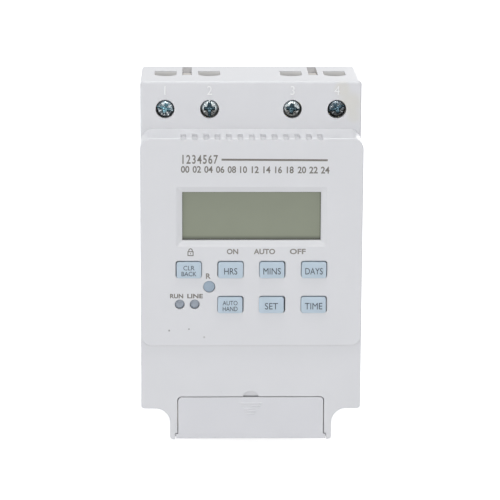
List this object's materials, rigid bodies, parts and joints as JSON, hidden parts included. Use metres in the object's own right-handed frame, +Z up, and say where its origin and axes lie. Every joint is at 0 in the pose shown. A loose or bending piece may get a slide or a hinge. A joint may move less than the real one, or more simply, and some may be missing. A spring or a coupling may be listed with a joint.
{
  "type": "time control switch",
  "caption": "Electronic weekly time switch for rail or wall, with recessed display, rubber keys, screw terminals on top, hinged battery door and sprung rail latch.",
  "frame": {"origin": "middle of the rail channel, in the plane of the wall that the feet rest on", "axes": "+X to the right seen from the front, +Y into the wall, +Z up; the display faces -Y"},
  "size_m": [0.074, 0.0587, 0.12],
  "materials": {
    "housing_plastic": "fine eroded moulding texture, satin",
    "base_plastic": "fine eroded moulding texture, satin",
    "key_silicone": "moulded silicone, matt, light blue",
    "web_silicone": "moulded silicone, matt",
    "lcd_glass": "grey-green reflective display with polarising film",
    "holder_plastic": "moulded",
    "contact_rubber": "layered conductive rubber",
    "board_laminate": "glass-fibre laminate with solder mask",
    "chip_resin": "moulded epoxy",
    "crystal_can": "drawn can",
    "lamp_resin": "cast epoxy, tinted",
    "zinc_steel": "steel, bright zinc plated",
    "terminal_brass": "extruded brass, tinned inside",
    "relay_plastic": "moulded case",
    "capacitor_box": "moulded box, resin filled",
    "capacitor_sleeve": "shrunk film sleeve",
    "resistor_lacquer": "lacquered ceramic",
    "varistor_lacquer": "dipped epoxy",
    "header_plastic": "moulded",
    "pin_brass": "drawn brass, gold flash",
    "cell_jacket": "steel can with printed film",
    "contact_nickel": "spring steel, nickel plated",
    "door_plastic": "fine eroded moulding texture, satin",
    "latch_plastic": "moulded acetal",
    "spring_steel": "drawn spring wire"
  },
  "bodies": {
    "root": {"front_housing": "housing_plastic", "fascia": "housing_plastic", "rear_base": "base_plastic", "keypad_web": "web_silicone", "lamp_work": "lamp_resin", "lamp_power": "lamp_resin", "lcd_panel": "lcd_glass", "lcd_holder": "holder_plastic", "lcd_contact_strips": "contact_rubber", "control_board": "board_laminate", "controller_chip": "chip_resin", "clock_crystal": "crystal_can", "control_board_screws": "zinc_steel", "power_board": "board_laminate", "power_board_screws": "zinc_steel", "relay": "relay_plastic", "suppression_capacitor": "capacitor_box", "electrolytic_capacitors": "capacitor_sleeve", "rectifier_diodes": "chip_resin", "power_resistor": "resistor_lacquer", "varistor": "varistor_lacquer", "link_headers": "header_plastic", "link_pins": "pin_brass", "battery_cell": "cell_jacket", "battery_contact_plus": "contact_nickel", "battery_contact_minus": "contact_nickel", "latch_spring": "spring_steel", "case_screws": "zinc_steel", "terminal_cage_1": "terminal_brass", "terminal_cage_2": "terminal_brass", "terminal_cage_3": "terminal_brass", "terminal_cage_4": "terminal_brass"},
    "key_reset": {"key_reset": "key_silicone"},
    "key_hour": {"key_hour": "key_silicone"},
    "key_minute": {"key_minute": "key_silicone"},
    "key_day": {"key_day": "key_silicone"},
    "key_mode": {"key_mode": "key_silicone"},
    "key_timer": {"key_timer": "key_silicone"},
    "key_clock": {"key_clock": "key_silicone"},
    "key_clear": {"key_clear": "key_silicone"},
    "battery_door": {"battery_door": "door_plastic"},
    "din_latch": {"din_latch": "latch_plastic"},
    "clamp_1": {"clamp_pad_1": "zinc_steel"},
    "screw_1": {"terminal_screw_1": "zinc_steel"},
    "clamp_2": {"clamp_pad_2": "zinc_steel"},
    "screw_2": {"terminal_screw_2": "zinc_steel"},
    "clamp_3": {"clamp_pad_3": "zinc_steel"},
    "screw_3": {"terminal_screw_3": "zinc_steel"},
    "clamp_4": {"clamp_pad_4": "zinc_steel"},
    "screw_4": {"terminal_screw_4": "zinc_steel"}
  },
  "joints": [
    {"name": "key_reset_press", "type": "slide", "parent": "root", "child": "key_reset", "axis": [0, 1, 0], "range_m": [0, 0.001], "stiffness_N_per_m": 600, "springref_m": -0.0003},
    {"name": "key_hour_press", "type": "slide", "parent": "root", "child": "key_hour", "axis": [0, 1, 0], "range_m": [0, 0.001], "stiffness_N_per_m": 600, "springref_m": -0.0003},
    {"name": "key_minute_press", "type": "slide", "parent": "root", "child": "key_minute", "axis": [0, 1, 0], "range_m": [0, 0.001], "stiffness_N_per_m": 600, "springref_m": -0.0003},
    {"name": "key_day_press", "type": "slide", "parent": "root", "child": "key_day", "axis": [0, 1, 0], "range_m": [0, 0.001], "stiffness_N_per_m": 600, "springref_m": -0.0003},
    {"name": "key_mode_press", "type": "slide", "parent": "root", "child": "key_mode", "axis": [0, 1, 0], "range_m": [0, 0.001], "stiffness_N_per_m": 600, "springref_m": -0.0003},
    {"name": "key_timer_press", "type": "slide", "parent": "root", "child": "key_timer", "axis": [0, 1, 0], "range_m": [0, 0.001], "stiffness_N_per_m": 600, "springref_m": -0.0003},
    {"name": "key_clock_press", "type": "slide", "parent": "root", "child": "key_clock", "axis": [0, 1, 0], "range_m": [0, 0.001], "stiffness_N_per_m": 600, "springref_m": -0.0003},
    {"name": "key_clear_press", "type": "slide", "parent": "root", "child": "key_clear", "axis": [0, 1, 0], "range_m": [0, 0.001], "stiffness_N_per_m": 600, "springref_m": -0.0003},
    {"name": "battery_door_hinge", "type": "hinge", "parent": "root", "child": "battery_door", "pos_m": [0, -0.0559, -0.0586], "axis": [1, 0, 0], "range_deg": [0, 105]},
    {"name": "din_latch_slide", "type": "slide", "parent": "root", "child": "din_latch", "axis": [0, 0, -1], "range_m": [0, 0.004], "stiffness_N_per_m": 1200, "springref_m": -0.002, "deforming": ["latch_spring"]},
    {"name": "clamp_1_travel", "type": "slide", "parent": "root", "child": "clamp_1", "axis": [0, 1, 0], "range_m": [0, 0.0035]},
    {"name": "screw_1_turn", "type": "hinge", "parent": "clamp_1", "child": "screw_1", "pos_m": [-0.0287, -0.042, 0.0505], "axis": [0, 1, 0], "range_deg": [0, 1800]},
    {"name": "clamp_2_travel", "type": "slide", "parent": "root", "child": "clamp_2", "axis": [0, 1, 0], "range_m": [0, 0.0035]},
    {"name": "screw_2_turn", "type": "hinge", "parent": "clamp_2", "child": "screw_2", "pos_m": [-0.01385, -0.042, 0.0505], "axis": [0, 1, 0], "range_deg": [0, 1800]},
    {"name": "clamp_3_travel", "type": "slide", "parent": "root", "child": "clamp_3", "axis": [0, 1, 0], "range_m": [0, 0.0035]},
    {"name": "screw_3_turn", "type": "hinge", "parent": "clamp_3", "child": "screw_3", "pos_m": [0.01385, -0.042, 0.0505], "axis": [0, 1, 0], "range_deg": [0, 1800]},
    {"name": "clamp_4_travel", "type": "slide", "parent": "root", "child": "clamp_4", "axis": [0, 1, 0], "range_m": [0, 0.0035]},
    {"name": "screw_4_turn", "type": "hinge", "parent": "clamp_4", "child": "screw_4", "pos_m": [0.0287, -0.042, 0.0505], "axis": [0, 1, 0], "range_deg": [0, 1800]}
  ],
  "couplings": [
    {"joint": "screw_1_turn", "follows": "clamp_1_travel", "rad_per_m": 8975.9},
    {"joint": "screw_2_turn", "follows": "clamp_2_travel", "rad_per_m": 8975.9},
    {"joint": "screw_3_turn", "follows": "clamp_3_travel", "rad_per_m": 8975.9},
    {"joint": "screw_4_turn", "follows": "clamp_4_travel", "rad_per_m": 8975.9}
  ]
}
